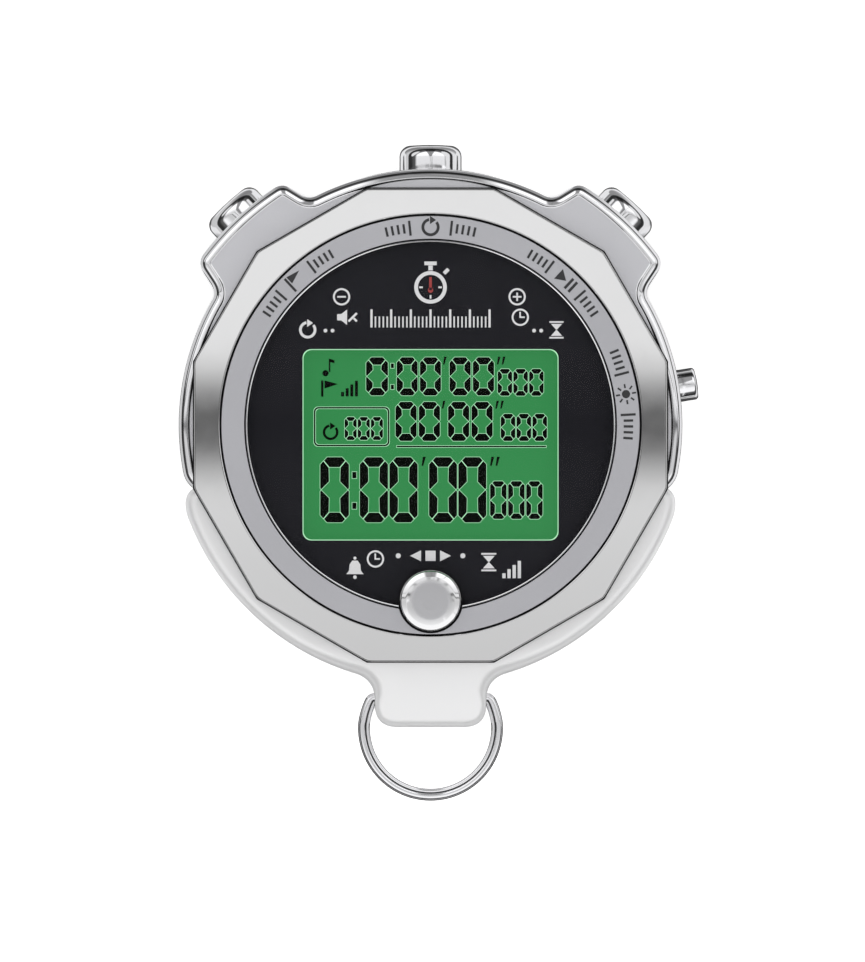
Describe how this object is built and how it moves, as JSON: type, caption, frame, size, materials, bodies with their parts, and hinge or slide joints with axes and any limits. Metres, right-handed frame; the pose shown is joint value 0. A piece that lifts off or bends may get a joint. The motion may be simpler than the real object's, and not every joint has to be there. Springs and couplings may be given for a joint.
{
  "type": "hand-held stopwatch",
  "caption": "Metal-cased digital hand stopwatch: many-sided bezel, green display, shoulder, top, side and front pushers, lug with a wire bail for a neck cord.",
  "frame": {"origin": "centre of the back cover's flat outer face, on the axis of the round case", "axes": "+Z out of the dial, +Y towards the 12 o'clock pusher, +X towards 3 o'clock"},
  "size_m": [0.0662, 0.0835, 0.021],
  "materials": {
    "polished_chrome": "polished chrome plate on a die-cast case",
    "satin_chrome": "fine satin chrome, bright",
    "ring_satin": "satin grey, turned",
    "brushed_steel": "straight brushed",
    "clear_lens": "clear acrylic, gloss",
    "black_print": "black print behind the lens, with small white marks",
    "display": "green backlit liquid crystal display with black segments",
    "white_plastic": "moulded, matte",
    "black_plastic": "moulded, matte",
    "lamp": "small green lamp, off",
    "rubber": "matte rubber",
    "board": "green solder mask",
    "cell_steel": "nickel plate",
    "spring_steel": "drawn steel",
    "brass": "bright brass"
  },
  "bodies": {
    "case": {"case_body": "polished_chrome", "bezel": "satin_chrome", "bezel_seal": "rubber", "dial_ring": "ring_satin", "dial_plate": "black_print", "lens": "clear_lens", "lcd_glass": "display", "lcd_frame": "white_plastic", "backlight_panel": "white_plastic", "backlight_led": "lamp", "zebra_strip_upper": "rubber", "zebra_strip_lower": "rubber", "circuit_board": "board", "controller_chip": "black_plastic", "quartz_crystal": "cell_steel", "coin_cell": "cell_steel", "battery_holder": "black_plastic", "battery_contact": "spring_steel", "buzzer_disc": "brass", "buzzer_spring_left": "spring_steel", "buzzer_spring_right": "spring_steel", "back_gasket": "rubber", "back_cover": "brushed_steel", "back_screw_1": "cell_steel", "back_screw_2": "cell_steel", "back_screw_3": "cell_steel", "back_screw_4": "cell_steel", "board_screw_1": "cell_steel", "board_screw_2": "cell_steel", "board_screw_3": "cell_steel", "board_screw_4": "cell_steel", "recall_spring": "spring_steel", "recall_switch": "black_plastic", "start_spring": "spring_steel", "start_switch": "black_plastic", "lap_spring": "spring_steel", "lap_switch": "black_plastic", "light_spring": "spring_steel", "light_switch": "black_plastic", "mode_spring": "spring_steel", "mode_switch": "black_plastic"},
    "recall_pusher": {"recall_button": "polished_chrome", "recall_seal": "rubber", "recall_clip": "spring_steel"},
    "start_pusher": {"start_button": "polished_chrome", "start_seal": "rubber", "start_clip": "spring_steel"},
    "lap_pusher": {"lap_button": "polished_chrome", "lap_seal": "rubber", "lap_clip": "spring_steel"},
    "light_pusher": {"light_button": "polished_chrome", "light_seal": "rubber", "light_clip": "spring_steel"},
    "mode_pusher": {"mode_button": "polished_chrome", "mode_seal": "rubber", "mode_clip": "spring_steel"},
    "bail": {"bail_ring": "polished_chrome"}
  },
  "joints": [
    {"name": "recall_press", "type": "slide", "parent": "case", "child": "recall_pusher", "axis": [0, 1, 0], "range_m": [-0.0008, 0], "stiffness_N_per_m": 1500, "springref_m": 0.001, "deforming": ["recall_spring"]},
    {"name": "start_press", "type": "slide", "parent": "case", "child": "start_pusher", "axis": [0.6756, 0.7373, 0], "range_m": [-0.0008, 0], "stiffness_N_per_m": 1500, "springref_m": 0.001, "deforming": ["start_spring"]},
    {"name": "lap_press", "type": "slide", "parent": "case", "child": "lap_pusher", "axis": [-0.6756, 0.7373, 0], "range_m": [-0.0008, 0], "stiffness_N_per_m": 1500, "springref_m": 0.001, "deforming": ["lap_spring"]},
    {"name": "light_press", "type": "slide", "parent": "case", "child": "light_pusher", "axis": [0.9877, 0.1564, 0], "range_m": [-0.0006, 0], "stiffness_N_per_m": 900, "springref_m": 0.001, "deforming": ["light_spring"]},
    {"name": "mode_press", "type": "slide", "parent": "case", "child": "mode_pusher", "axis": [0, 0, 1], "range_m": [-0.0006, 0], "stiffness_N_per_m": 900, "springref_m": 0.001, "deforming": ["mode_spring"]},
    {"name": "bail_swing", "type": "hinge", "parent": "case", "child": "bail", "pos_m": [0, -0.035, 0.00835], "axis": [1, 0, 0], "range_deg": [-105, 105]}
  ]
}
